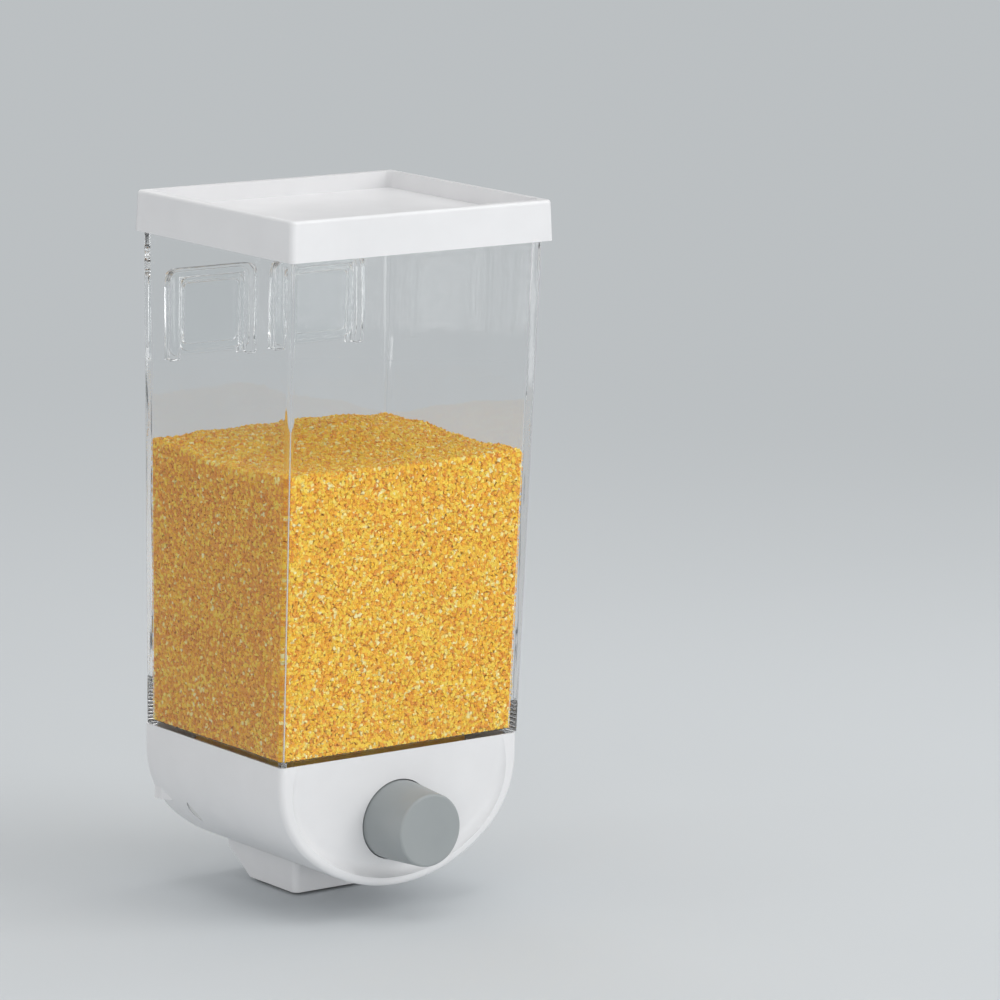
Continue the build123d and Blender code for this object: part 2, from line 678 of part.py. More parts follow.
# ---------------------------------------------------------------- write one file per piece
pieces = {
    "hopper": make_hopper(),
    "lid_cover": make_lid(),
    "lid_seal": seal_ring(),
    "base_housing": make_housing(),
    "funnel_insert": make_funnel(),
    "funnel_gasket": make_gasket(),
    "throat_seal": make_throat_seal(),
    "valve_body": make_valve_body(),
    "outlet_chute": make_chute(),
    "push_button": make_button(),
    "gate_slide": make_gate(),
    "gate_screws": make_gate_screws(),
    "return_spring": make_spring(),
    "spring_guide_pin": make_spring_pin(),
    "wall_hook_left": make_hook(-hook_offset),
    "wall_hook_right": make_hook(hook_offset),
    "adhesive_pad_left": make_pad(-hook_offset),
    "adhesive_pad_right": make_pad(hook_offset),
    "wall_bumper_left": make_bumper(-bumper_offset),
    "wall_bumper_right": make_bumper(bumper_offset),
}

os.makedirs("parts", exist_ok=True)
for name, piece in pieces.items():
    export_step(piece, f"parts/{name}.step")
    print(f"{name}: {piece.volume / 1000:.2f} cm3")
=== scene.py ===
# %% [markdown]
# # A wall-hung cereal dispenser
# The unit is a clear tapered hopper full of corn grits, with a white press-on lid, standing on a white
# U-shaped housing that holds a sprung grey button. The shapes that fit and move come in as a fixed
# frame. This lesson gives them their finishes, softens the moulded edges, and fills the hopper.

# %% Load the frame
import json
import math

import bpy
import numpy as np
from mathutils import Matrix, Vector


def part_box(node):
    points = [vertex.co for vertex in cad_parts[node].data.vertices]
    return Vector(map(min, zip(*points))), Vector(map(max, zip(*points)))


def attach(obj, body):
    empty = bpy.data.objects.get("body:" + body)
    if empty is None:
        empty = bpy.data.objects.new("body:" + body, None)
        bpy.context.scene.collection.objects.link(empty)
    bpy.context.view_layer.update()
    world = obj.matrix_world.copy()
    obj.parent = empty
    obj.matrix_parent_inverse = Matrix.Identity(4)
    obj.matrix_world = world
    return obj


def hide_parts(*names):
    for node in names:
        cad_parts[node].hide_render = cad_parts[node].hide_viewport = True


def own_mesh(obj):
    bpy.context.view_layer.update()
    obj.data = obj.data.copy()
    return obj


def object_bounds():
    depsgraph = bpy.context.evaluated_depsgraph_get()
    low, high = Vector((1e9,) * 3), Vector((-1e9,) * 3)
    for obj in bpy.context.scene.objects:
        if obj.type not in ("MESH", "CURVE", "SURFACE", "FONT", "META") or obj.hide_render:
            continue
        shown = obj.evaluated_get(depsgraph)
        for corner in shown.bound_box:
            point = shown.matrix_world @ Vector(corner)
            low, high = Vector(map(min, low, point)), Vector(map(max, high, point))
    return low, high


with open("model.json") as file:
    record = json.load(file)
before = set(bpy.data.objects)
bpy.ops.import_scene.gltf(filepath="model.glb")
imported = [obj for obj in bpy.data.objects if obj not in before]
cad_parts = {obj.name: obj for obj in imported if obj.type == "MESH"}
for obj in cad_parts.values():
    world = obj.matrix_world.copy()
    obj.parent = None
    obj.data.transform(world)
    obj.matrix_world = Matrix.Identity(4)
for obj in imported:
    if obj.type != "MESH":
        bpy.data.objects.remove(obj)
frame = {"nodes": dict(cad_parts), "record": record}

cad_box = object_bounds()
mm = 0.001
print("frame box", cad_box)

# %% [markdown]
# ## Where things are
# Every place is worked out from the boxes of the loaded pieces. The housing's top edge is the seam that
# the hopper stands on, so the housing gives the hopper's width and depth there, and the hopper's own box
# gives them at its mouth. Only the thickness of its wall and the height of the ledge at its foot have to
# be known besides.

# %% Read the main places
hopper_low, hopper_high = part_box("hopper")
housing_low, housing_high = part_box("base_housing")
seam_z = housing_high.z
mouth_z = hopper_high.z
hopper_wall = 2.5 * mm
ledge_height = 1.6 * mm
seam_half = housing_high.x
mouth_half = hopper_high.x
back_face = housing_high.y
print("seam", round(seam_z, 4), "mouth", round(mouth_z, 4))


def inner_walls(z):
    """The hopper's inner half width, front and back at a height, or at an array of heights."""
    rise = (z - seam_z) / (mouth_z - seam_z)
    half = seam_half + (mouth_half - seam_half) * rise - hopper_wall
    front = housing_low.y + (hopper_low.y - housing_low.y) * rise + hopper_wall
    back = back_face - hopper_wall + 0 * rise
    return half, front, back


# %% [markdown]
# ## The camera
# The unit is seen from its left front and a little from above, from about two metres away with a long
# lens, which keeps its upright edges nearly parallel. The camera's back axis comes from those two
# angles, and a small roll is turned about it.

# %% Set up the camera
view_turn = math.radians(-37.23)
view_rise = math.radians(10.76)
view_roll = math.radians(0.93)
view_distance = 2.031
view_aim = Vector((0.0744, -0.050, -0.0724))
lens_length = 198.2


def add_camera():
    back = Vector((math.sin(view_turn) * math.cos(view_rise),
                   -math.cos(view_turn) * math.cos(view_rise), math.sin(view_rise)))
    right = Vector((0, 0, 1)).cross(back).normalized()
    up = back.cross(right)
    rolled_right = right * math.cos(view_roll) + up * math.sin(view_roll)
    rolled_up = up * math.cos(view_roll) - right * math.sin(view_roll)
    turn = Matrix((rolled_right, rolled_up, back)).transposed().to_4x4()
    data = bpy.data.cameras.new("camera")
    data.lens = lens_length
    camera = bpy.data.objects.new("camera", data)
    bpy.context.scene.collection.objects.link(camera)
    camera.matrix_world = Matrix.Translation(view_aim + back * view_distance) @ turn
    bpy.context.scene.camera = camera
    return camera


camera = add_camera()
print("camera at", [round(v, 3) for v in camera.matrix_world.translation])

# %% [markdown]
# ## Tools for finishes
# A finish starts as a Principled shader that reads Object coordinates, which here are metres in the
# frame, so that a pattern has its real scale. The helpers below add noise, colours, a drifting roughness
# and a bump, and mix one surface with another.


# %% Make the finish helpers
two_tone_stops = (0.3, 0.7)


def start_finish(name):
    """A new material, with its node tree, its Principled shader and its Object coordinates."""
    material = bpy.data.materials.new(name)
    material.use_nodes = True
    tree = material.node_tree
    tree.nodes.clear()
    output = tree.nodes.new("ShaderNodeOutputMaterial")
    shader = tree.nodes.new("ShaderNodeBsdfPrincipled")
    tree.links.new(shader.outputs["BSDF"], output.inputs["Surface"])
    place = tree.nodes.new("ShaderNodeTexCoord").outputs["Object"]
    return material, tree, shader, place


def add_noise(tree, place, grain_size, detail=2.0, stretch=(1, 1, 1)):
    """Noise whose blotches are about grain_size metres across."""
    mapping = tree.nodes.new("ShaderNodeMapping")
    mapping.inputs["Scale"].default_value = stretch
    tree.links.new(place, mapping.inputs["Vector"])
    noise = tree.nodes.new("ShaderNodeTexNoise")
    noise.inputs["Scale"].default_value = 1 / grain_size
    noise.inputs["Detail"].default_value = detail
    tree.links.new(mapping.outputs["Vector"], noise.inputs["Vector"])
    return noise.outputs["Fac"]


def add_ramp(tree, value, stops):
    """A colour ramp through (place, colour) stops."""
    ramp = tree.nodes.new("ShaderNodeValToRGB")
    tree.links.new(value, ramp.inputs["Fac"])
    elements = ramp.color_ramp.elements
    while len(elements) < len(stops):
        elements.new(0.5)
    for element, (at, colour) in zip(elements, stops):
        element.position = at
        element.color = (*colour, 1)
    return ramp.outputs["Color"]


def two_tones(tree, value, dark, light):
    """Dark blotches that go over softly into light ones."""
    return add_ramp(tree, value, list(zip(two_tone_stops, (dark, light))))


def drift_roughness(tree, shader, value, low, high):
    """A roughness that drifts between low and high as a value goes from 0 to 1."""
    spread = tree.nodes.new("ShaderNodeMapRange")
    spread.inputs["To Min"].default_value = low
    spread.inputs["To Max"].default_value = high
    tree.links.new(value, spread.inputs["Value"])
    tree.links.new(spread.outputs["Result"], shader.inputs["Roughness"])


def add_bump(tree, shader, height, depth, before=None):
    """A bump whose full height is depth metres."""
    bump = tree.nodes.new("ShaderNodeBump")
    bump.inputs["Distance"].default_value = depth
    tree.links.new(height, bump.inputs["Height"])
    if before is not None:
        tree.links.new(before, bump.inputs["Normal"])
    tree.links.new(bump.outputs["Normal"], shader.inputs["Normal"])
    return bump.outputs["Normal"]


def mix_shaders(tree, share, first, second):
    """The first shader where share is 0, and the second where it is 1."""
    mix = tree.nodes.new("ShaderNodeMixShader")
    tree.links.new(share, mix.inputs["Fac"])
    tree.links.new(first, mix.inputs[1])
    tree.links.new(second, mix.inputs[2])
    return mix.outputs["Shader"]


def set_surface(tree, surface):
    """Show this surface in place of the plain shader."""
    output = next(node for node in tree.nodes if node.type == "OUTPUT_MATERIAL")
    tree.links.new(surface, output.inputs["Surface"])


# %% [markdown]
# ## White and grey moulded plastic
# The lid and the housing are moulded in opaque white plastic, glossy enough for a soft highlight. The
# mould's polish leaves a fine skin, and the wall sinks a little over centimetres, so the finish has a
# fine bump, a broad faint one, and a roughness that drifts. The grey button has a coarser satin skin.


# %% Mix the moulded plastics
colour_blotch, gloss_blotch = 18 * mm, 7 * mm
gloss_spread = 0.05
sink_size, sink_depth = 24 * mm, 0.12 * mm
moulded_ior = 1.5


def moulded_plastic(name, light, dark, roughness, skin_size, skin_depth):
    material, tree, shader, place = start_finish(name)
    drift = add_noise(tree, place, colour_blotch, detail=3)
    tree.links.new(two_tones(tree, drift, dark, light), shader.inputs["Base Color"])
    gloss = add_noise(tree, place, gloss_blotch)
    drift_roughness(tree, shader, gloss, roughness - gloss_spread, roughness + gloss_spread)
    broad = add_bump(tree, shader, add_noise(tree, place, sink_size, detail=1), sink_depth)
    add_bump(tree, shader, add_noise(tree, place, skin_size), skin_depth, before=broad)
    shader.inputs["IOR"].default_value = moulded_ior
    return material


white_shell = moulded_plastic("white_moulded", (0.83, 0.83, 0.84), (0.80, 0.80, 0.81),
                              0.33, 0.35 * mm, 0.004 * mm)
white_inner = moulded_plastic("white_inner_moulded", (0.78, 0.78, 0.77), (0.74, 0.74, 0.73),
                              0.5, 0.5 * mm, 0.01 * mm)
grey_button = moulded_plastic("grey_satin_moulded", (0.345, 0.37, 0.375), (0.32, 0.345, 0.35),
                              0.42, 0.4 * mm, 0.012 * mm)
print("moulded finishes made")

# %% [markdown]
# ## Clear plastic
# The hopper and the hooks are polished clear plastic. Light has to reach the grits through the walls, and
# bent light is slow and noisy to trace to a lamp, so rays on their way to a lamp pass straight through.
# The moulded walls are never quite flat: long upright ripples make the edges and reflections waver. The
# gel pads are as soft and clear as water, and they bend light hardly at all.


# %% Mix the clear plastics
clear_ior, gel_ior = 1.49, 1.06
tint_blotch, faint_share = 30 * mm, 0.985
polish_blotch, polish_spread = 5 * mm, (0.6, 1.4)
upright = (1, 1, 0.22)
shadow_tint = (0.98, 0.985, 0.985, 1)


def clear_plastic(name, tint, roughness, ripple_depth, ripple_size, ior=clear_ior):
    material, tree, shader, place = start_finish(name)
    faint = [c * faint_share for c in tint]
    shade = two_tones(tree, add_noise(tree, place, tint_blotch), faint, tint)
    tree.links.new(shade, shader.inputs["Base Color"])
    shader.inputs["Transmission Weight"].default_value = 1.0
    shader.inputs["IOR"].default_value = ior
    smoothest, roughest = (roughness * share for share in polish_spread)
    drift_roughness(tree, shader, add_noise(tree, place, polish_blotch), smoothest, roughest)
    ripple = add_noise(tree, place, ripple_size, detail=1, stretch=upright)
    add_bump(tree, shader, ripple, ripple_depth)
    straight = tree.nodes.new("ShaderNodeBsdfTransparent")
    straight.inputs["Color"].default_value = shadow_tint
    to_lamp = tree.nodes.new("ShaderNodeLightPath").outputs["Is Shadow Ray"]
    set_surface(tree, mix_shaders(tree, to_lamp, shader.outputs["BSDF"], straight.outputs["BSDF"]))
    return material


clear_shell = clear_plastic("clear_polished", (0.997, 0.999, 0.999), 0.012, 0.05 * mm, 9 * mm)
clear_hook = clear_plastic("clear_hook_moulded", (0.99, 0.995, 0.995), 0.02, 0.03 * mm, 6 * mm)
clear_adhesive = clear_plastic("clear_gel_pad", (0.96, 0.975, 0.98), 0.05, 0.03 * mm, 2 * mm,
                               ior=gel_ior)
print("clear finishes made")

# %% [markdown]
# ## Silicone, rubber and steel
# The seals are milky silicone, the bumpers soft white rubber, and the spring and screws bright steel.
# Drawn wire has fine scratches along it, and zinc plating is faintly blotched.


# %% Mix the soft and metal finishes
rubber_blotch, rubber_gloss_blotch, rubber_spread = 4 * mm, 1.5 * mm, 0.08
rubber_grain, rubber_depth = 0.3 * mm, 0.01 * mm
steel_blotch, steel_spread = 1.2 * mm, (-0.08, 0.1)
scratch_size, scratch_depth = 0.15 * mm, 0.004 * mm


def soft_rubber(name, light, dark, roughness):
    material, tree, shader, place = start_finish(name)
    drift = add_noise(tree, place, rubber_blotch, detail=3)
    tree.links.new(two_tones(tree, drift, dark, light), shader.inputs["Base Color"])
    gloss = add_noise(tree, place, rubber_gloss_blotch)
    drift_roughness(tree, shader, gloss, roughness - rubber_spread, roughness + rubber_spread)
    add_bump(tree, shader, add_noise(tree, place, rubber_grain), rubber_depth)
    return material


def steel(name, light, dark, roughness, scratch_stretch):
    material, tree, shader, place = start_finish(name)
    shader.inputs["Metallic"].default_value = 1.0
    drift = add_noise(tree, place, steel_blotch, detail=3, stretch=scratch_stretch)
    tree.links.new(two_tones(tree, drift, dark, light), shader.inputs["Base Color"])
    smoothest, roughest = (roughness + change for change in steel_spread)
    drift_roughness(tree, shader, drift, smoothest, roughest)
    scratches = add_noise(tree, place, scratch_size, stretch=scratch_stretch)
    add_bump(tree, shader, scratches, scratch_depth)
    return material


silicone = soft_rubber("milky_silicone", (0.80, 0.81, 0.80), (0.74, 0.75, 0.74), 0.45)
bumper_rubber = soft_rubber("white_rubber", (0.80, 0.80, 0.79), (0.73, 0.73, 0.72), 0.6)
screw_steel = steel("zinc_plated_steel", (0.74, 0.75, 0.77), (0.58, 0.59, 0.61), 0.28, (1, 1, 1))
spring_steel = steel("drawn_spring_wire", (0.68, 0.68, 0.68), (0.50, 0.50, 0.50), 0.25, (1, 0.3, 1))
print("rubber and steel finishes made")

# %% [markdown]
# ## Put the finishes on
# Each piece names its finish in the frame's record, so the pairs are read from there.

# %% Give every loaded piece its finish
finishes = {
    "clear_shell": clear_shell, "white_shell": white_shell, "white_inner": white_inner,
    "grey_button": grey_button, "silicone": silicone, "screw_steel": screw_steel,
    "spring_steel": spring_steel, "clear_hook": clear_hook, "clear_adhesive": clear_adhesive,
    "bumper_rubber": bumper_rubber,
}
slot_of = {part["node"]: part["material_slot"] for part in frame["record"]["subparts"]}
bodies = frame["record"]["behaviour"]["bodies"]
body_of = {node: body for body, nodes in bodies.items() for node in nodes}
for node, piece in frame["nodes"].items():
    for material_slot in piece.material_slots:
        material_slot.material = finishes[slot_of[node]]
print("finishes on", len(slot_of), "pieces")

# %% [markdown]
# ## Softened edges
# No moulded edge is knife sharp: each is rounded by a few tenths of a millimetre, and on clear plastic
# that rounding is what draws the bright line. The edges could be faked in the finish, but a true
# rounding also catches light in the exported model. So copies of the clear pieces and of the chute are
# welded together, their flat triangles are merged, and a Bevel modifier rounds only the edges sharper
# than an angle. Clear plastic bends light by the surface's shading normals, so a Weighted Normal modifier
# then keeps the large faces' normals straight and leaves all the turning to the roundings.
#
# A gel pad lies right on its hook. Where two clear faces share one plane, a ray can't tell which it
# meets first and is caught between them, which looks black, so the pad's front is moved back a hair.

# %% Round the moulded edges
sharp_angle = math.radians(32)
flat_angle = math.radians(0.5)
weld_distance, sliver_length = 1e-6, 2e-6
edge_rings = 2
large_face_weight = 100


def clear_selection():
    bpy.ops.object.select_all(action="DESELECT")


def start_editing():
    """Edit mode, with the whole mesh selected."""
    bpy.ops.object.mode_set(mode="EDIT")
    bpy.ops.mesh.select_all(action="SELECT")


def stop_editing():
    bpy.ops.object.mode_set(mode="OBJECT")


def soften(node, width):
    """A copy of a loaded piece with its sharp edges rounded by width, which stands for that piece."""
    source = frame["nodes"][node]
    clear_selection()
    piece = bpy.data.objects.new(node + "_rounded", source.data.copy())
    bpy.context.scene.collection.objects.link(piece)
    bpy.context.view_layer.objects.active = piece
    piece.select_set(True)
    bpy.ops.mesh.customdata_custom_splitnormals_clear()
    start_editing()
    bpy.ops.mesh.remove_doubles(threshold=weld_distance)
    bpy.ops.mesh.dissolve_limited(angle_limit=flat_angle)
    stop_editing()
    bevel = piece.modifiers.new("round", "BEVEL")
    bevel.width = width
    bevel.segments = edge_rings
    bevel.limit_method = "ANGLE"
    bevel.angle_limit = sharp_angle
    bevel.use_clamp_overlap = False
    bpy.ops.object.modifier_apply(modifier=bevel.name)
    start_editing()
    bpy.ops.mesh.dissolve_degenerate(threshold=sliver_length)
    stop_editing()
    bpy.ops.object.shade_smooth_by_angle(angle=sharp_angle)
    weighted = piece.modifiers.new("straighten", "WEIGHTED_NORMAL")
    weighted.weight = large_face_weight
    weighted.keep_sharp = True
    bpy.ops.object.modifier_apply(modifier=weighted.name)
    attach(piece, body_of[node])
    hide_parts(node)
    print(piece.name, len(piece.data.polygons), "faces")
    return piece


hopper_rounding, moulded_rounding, pad_rounding = 0.35 * mm, 0.3 * mm, 0.12 * mm
soften("hopper", hopper_rounding)
for node in ("wall_hook_left", "wall_hook_right", "outlet_chute"):
    soften(node, moulded_rounding)

pad_air = 0.04 * mm
for node in ("adhesive_pad_left", "adhesive_pad_right"):
    pad = soften(node, pad_rounding)
    pad_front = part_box(node)[0].y
    for vertex in pad.data.vertices:
        if vertex.co.y < pad_front / 2:
            vertex.co.y += pad_air

# %% [markdown]
# ## The corn grits
# The hopper holds broken corn: golden grits of about a millimetre and a half, angular, a few of them pale.
# A full hopper needs millions, but only those at the walls and on top can be seen. So one grit is
# modelled in a few variants, each a shaken cube with a corner broken off. Each face of the heap gets its
# own sheets of copies, a dense one at the wall and a looser one behind it, over a plain core.

# %% Model the grits
grit_variants = 6
grit_cube, grit_stretch, grit_shake = 0.82, (1.15, 1.0, 0.85), 0.2
break_x, break_step, break_z = 0.2, 0.08, 0.1
break_facing = (1, 0.5, 0.7)


def model_grit(number):
    """A broken kernel about the origin, about one unit across: its points and triangles."""
    clear_selection()
    bpy.ops.mesh.primitive_cube_add(size=grit_cube)
    grit = bpy.context.object
    start_editing()
    bpy.ops.transform.resize(value=grit_stretch)
    bpy.ops.transform.vertex_random(offset=grit_shake, seed=number)
    bpy.ops.mesh.select_all(action="SELECT")
    bpy.ops.mesh.bisect(plane_co=(break_x, break_step * (number - 2), break_z), plane_no=break_facing,
                        use_fill=True, clear_outer=True)
    bpy.ops.mesh.select_all(action="SELECT")
    bpy.ops.mesh.quads_convert_to_tris()
    bpy.ops.mesh.normals_make_consistent(inside=False)
    stop_editing()
    points = np.array([v.co for v in grit.data.vertices])
    triangles = np.array([tuple(p.vertices) for p in grit.data.polygons])
    bpy.data.objects.remove(grit)
    return points, triangles


grits = [model_grit(number) for number in range(grit_variants)]
print("grits with", [len(triangles) for _, triangles in grits], "triangles")

# %% [markdown]
# ## The heap's surface
# Poured grits settle level, with a low mound where the stream fell and a shallow dip beside it. The
# surface is a level plus a few soft bumps, each a place, a height and a radius, and a fine ripple over
# all, whose pitches are in radians per metre.

# %% Shape the heap
fill_level = -0.0445
ledge_top = seam_z + ledge_height
wall_clearance = 0.15 * mm
mounds = [(0.016, -0.036, 5.2 * mm, 0.019), (-0.030, -0.022, 1.6 * mm, 0.016),
          (-0.050, -0.055, -2.4 * mm, 0.018), (0.005, -0.085, -1.0 * mm, 0.022),
          (0.048, -0.060, -1.4 * mm, 0.014)]
ripple_rise, ripple_pitch_x, ripple_pitch_y, ripple_shift = 0.35 * mm, 310, 270, 1.3


def heap_height(x, y):
    height = fill_level + 0 * x
    for mound_x, mound_y, rise, radius in mounds:
        height = height + rise * np.exp(-((x - mound_x)**2 + (y - mound_y)**2) / (2 * radius**2))
    return height + ripple_rise * np.sin(x * ripple_pitch_x + ripple_shift) * np.cos(y * ripple_pitch_y)


def keep_inside(points):
    """Points moved in to stay clear of the hopper's walls and its ledge."""
    points[:, 2] = np.maximum(points[:, 2], ledge_top + wall_clearance)
    half, front, back = inner_walls(points[:, 2])
    points[:, 0] = np.clip(points[:, 0], -half + wall_clearance, half - wall_clearance)
    points[:, 1] = np.clip(points[:, 1], front + wall_clearance, back - wall_clearance)
    return points


# %% [markdown]
# ## Pouring
# A sheet of grits starts as staggered rows with the rows shaken up, which packs evenly and shows no
# pattern. Each grit gets a seeded turn, size and tone, and is pressed flat where it meets a wall.

# %% Make the pouring helpers
grit_size = 1.4 * mm
grit_spacing = 1.12 * mm
row_share, shaken_share = 0.87, 0.36
size_spread = (0.78, 1.22)


def staggered(width, height, spacing, rng):
    """Shaken rows of places over a rectangle that starts at zero, zero."""
    rows = int(height / (spacing * row_share)) + 1
    columns = int(width / spacing) + 1
    row, column = np.mgrid[0:rows, 0:columns]
    across = (column + 0.5 * (row % 2)) * spacing
    up = row * spacing * row_share
    places = np.stack([across.ravel(), up.ravel()], axis=1)
    return places + rng.uniform(-shaken_share, shaken_share, places.shape) * spacing


def random_turns(count, rng):
    """Evenly random turns, as rotation matrices."""
    quarters = rng.normal(size=(4, count))
    w, x, y, z = quarters / np.linalg.norm(quarters, axis=0)
    return np.stack([
        1 - 2 * (y * y + z * z), 2 * (x * y - w * z), 2 * (x * z + w * y),
        2 * (x * y + w * z), 1 - 2 * (x * x + z * z), 2 * (y * z - w * x),
        2 * (x * z - w * y), 2 * (y * z + w * x), 1 - 2 * (x * x + y * y)], axis=1).reshape(count, 3, 3)


def pour(name, places, rng, painted_shade_power=1.0):
    """One mesh of grits at these places, each with a tone of its own; a higher power has fewer pale ones,
    which paints shade.
    """
    turns = random_turns(len(places), rng)
    sizes = grit_size * rng.uniform(*size_spread, len(places))
    tones = rng.uniform(0, 1, len(places)) ** painted_shade_power
    kinds = rng.integers(0, grit_variants, len(places))
    all_points, all_triangles, all_tones, start = [], [], [], 0
    for kind, (points, triangles) in enumerate(grits):
        chosen = np.flatnonzero(kinds == kind)
        moved = np.einsum("nij,pj->npi", turns[chosen], points) * sizes[chosen, None, None]
        moved = (moved + places[chosen, None, :]).reshape(-1, 3)
        offsets = start + np.arange(len(chosen)) * len(points)
        all_points.append(moved)
        all_triangles.append((triangles[None] + offsets[:, None, None]).reshape(-1, 3))
        all_tones.append(np.repeat(tones[chosen], len(points)))
        start += len(chosen) * len(points)
    mesh = bpy.data.meshes.new(name)
    mesh.from_pydata(keep_inside(np.concatenate(all_points)), [], np.concatenate(all_triangles).tolist())
    tone = mesh.attributes.new("grit_tone", "FLOAT", "POINT")
    tone.data.foreach_set("value", np.concatenate(all_tones).astype(np.float32))
    heap = bpy.data.objects.new(name, mesh)
    bpy.context.scene.collection.objects.link(heap)
    print(name, len(places), "grits,", len(mesh.polygons), "triangles")
    return heap


# %% [markdown]
# ## Grit colour
# Corn grits are deep gold with a glassy broken face, and the floury middle of the kernel shows pale. The
# tone stored on each grit picks its colour, and a fine noise mottles it.


# %% Mix the grit finish
corn_tones = [(0.0, (0.84, 0.32, 0.005)), (0.3, (0.98, 0.51, 0.010)), (0.62, (1.0, 0.65, 0.024)),
              (0.88, (1.0, 0.76, 0.08)), (1.0, (1.0, 0.94, 0.50))]
mottle_size, mottle_dark, mottle_light = 0.6 * mm, (0.93, 0.90, 0.82), (1, 1, 1)
corn_gloss_blotch, corn_smoothest, corn_roughest = 0.9 * mm, 0.3, 0.6
corn_grain, corn_grain_depth = 0.25 * mm, 0.02 * mm


def corn_finish():
    material, tree, shader, place = start_finish("corn_grit")
    tone = tree.nodes.new("ShaderNodeAttribute")
    tone.attribute_name = "grit_tone"
    colour = add_ramp(tree, tone.outputs["Fac"], corn_tones)
    mottle = two_tones(tree, add_noise(tree, place, mottle_size), mottle_dark, mottle_light)
    blend = tree.nodes.new("ShaderNodeMix")
    blend.data_type = "RGBA"
    blend.blend_type = "MULTIPLY"
    blend.inputs["Factor"].default_value = 1.0
    tree.links.new(colour, blend.inputs["A"])
    tree.links.new(mottle, blend.inputs["B"])
    tree.links.new(blend.outputs["Result"], shader.inputs["Base Color"])
    gloss = add_noise(tree, place, corn_gloss_blotch)
    drift_roughness(tree, shader, gloss, corn_smoothest, corn_roughest)
    add_bump(tree, shader, add_noise(tree, place, corn_grain), corn_grain_depth)
    return material


corn = corn_finish()

# %% [markdown]
# ## The sheets of the heap
# The upright sheets follow the four leaning walls, and the top ones follow the heap's surface. Each sheet
# is a piece of its own, so that none grows too heavy. The sheets at the two sides get fewer pale grits and
# so a deeper gold, which is painted shade for the dimmer light on those sides.


# %% Lay the sheets at the walls
sheet_layers = {"near": (grit_spacing, 0.4 * mm, 0.75 * mm),
                "deep": (grit_spacing * 1.15, 1.2 * mm, 1.6 * mm)}
wall_seeds = {"front": 11, "back": 12, "left": 13, "right": 14}
top_seed = 21
mound_room = 6 * mm
edge_room, top_edge_room = 0.3 * mm, 0.5 * mm
top_lift = 0.4 * mm
side_painted_shade = 2.2


def wall_sheet(name, side, layer, rng):
    """A sheet of grits at the front, back, left or right wall."""
    half, front, back = inner_walls(fill_level)
    run = 2 * half if side in ("front", "back") else back - front
    tall = fill_level + mound_room - ledge_top
    spacing, near, far = sheet_layers[layer]
    flat = staggered(run, tall, spacing, rng)
    depth = rng.uniform(near, far, len(flat))
    along, z = flat[:, 0] - run / 2, flat[:, 1] + ledge_top
    half, front, back = inner_walls(z)
    if side == "front":
        x, y = along, front + depth
    elif side == "back":
        x, y = along, back - depth
    elif side == "left":
        x, y = -half + depth, (front + back) / 2 + along
    else:
        x, y = half - depth, (front + back) / 2 + along
    inside = (np.abs(x) < half - edge_room) & (y > front + edge_room) & (y < back - edge_room)
    inside &= z < heap_height(x, y) - edge_room
    # The left and right sheets get deeper gold tones, as painted shade for the dimmer light on those
    # sides.
    painted_shade_power = side_painted_shade if side in ("left", "right") else 1.0
    return pour(name, np.stack([x, y, z], axis=1)[inside], rng, painted_shade_power)


def top_sheet(name, layer, rng):
    """A sheet of grits on the heap's surface."""
    half, front, back = inner_walls(fill_level)
    spacing, near, far = sheet_layers[layer]
    flat = staggered(2 * half, back - front, spacing, rng)
    x, y = flat[:, 0] - half, flat[:, 1] + front
    z = heap_height(x, y) + top_lift - rng.uniform(near, far, len(flat))
    inside = (np.abs(x) < half - top_edge_room) & (y > front + top_edge_room) & (y < back - top_edge_room)
    return pour(name, np.stack([x, y, z], axis=1)[inside], rng)


heap_pieces = []
for layer in sheet_layers:
    for side, seed in wall_seeds.items():
        heap_pieces.append(wall_sheet(f"grits_{side}_{layer}", side, layer, np.random.default_rng(seed)))
    heap_pieces.append(top_sheet(f"grits_top_{layer}", layer, np.random.default_rng(top_seed)))


# %% [markdown]
# ## The heap's core
# Behind the sheets lies a plain block, so that no light shows between the grits. It is a cube cut into a
# grid, whose points are then moved to the leaning walls and up to the surface. The grits also fill the
# hopper's neck and the funnel down to the gate, where only the clear ledge and the open gate show them.
# That filling is a grid pulled up through levels that are scaled to the throat, the funnel and the neck.
# It stays a centimetre clear of the neck's walls, because behind the clear ledge it would turn the whole
# seam gold, and the real seam looks dark and silvery.


# %% Model the core and the filling below it
core_seed, filling_seed = 22, 23
core_tones = (0.2, 0.75)
grid_cuts = 23
core_inset, core_drop, core_foot = 2.0 * mm, 2.1 * mm, 0.5 * mm


def tint_core(piece, seed):
    """Random tones on the points of a core, so that it is mottled like the grits."""
    rng = np.random.default_rng(seed)
    tone = piece.data.attributes.new("grit_tone", "FLOAT", "POINT")
    tones = rng.uniform(*core_tones, len(piece.data.vertices))
    tone.data.foreach_set("value", tones.astype(np.float32))


def heap_core():
    clear_selection()
    bpy.ops.mesh.primitive_cube_add(size=2)
    core = bpy.context.object
    core.name = core.data.name = "grits_core"
    start_editing()
    bpy.ops.mesh.subdivide(number_cuts=grid_cuts)
    stop_editing()
    for vertex in core.data.vertices:
        across, along, up = vertex.co
        half, front, back = inner_walls(fill_level)
        x = across * (half - core_inset)
        y = (front + back) / 2 + along * ((back - front) / 2 - core_inset)
        top = float(heap_height(x, y)) - core_drop
        z = ledge_top + core_foot + (up + 1) / 2 * (top - ledge_top - core_foot)
        half, front, back = inner_walls(z)
        y = (front + back) / 2 + along * ((back - front) / 2 - core_inset)
        vertex.co = (across * (half - core_inset), y, z)
    tint_core(core, core_seed)
    print("core with", len(core.data.polygons), "faces")
    return core


neck_room, neck_top = 10 * mm, 0.4 * mm
above_gate, above_seal = 0.2 * mm, 3 * mm
above_collar, slope_top = 0.3 * mm, 2 * mm


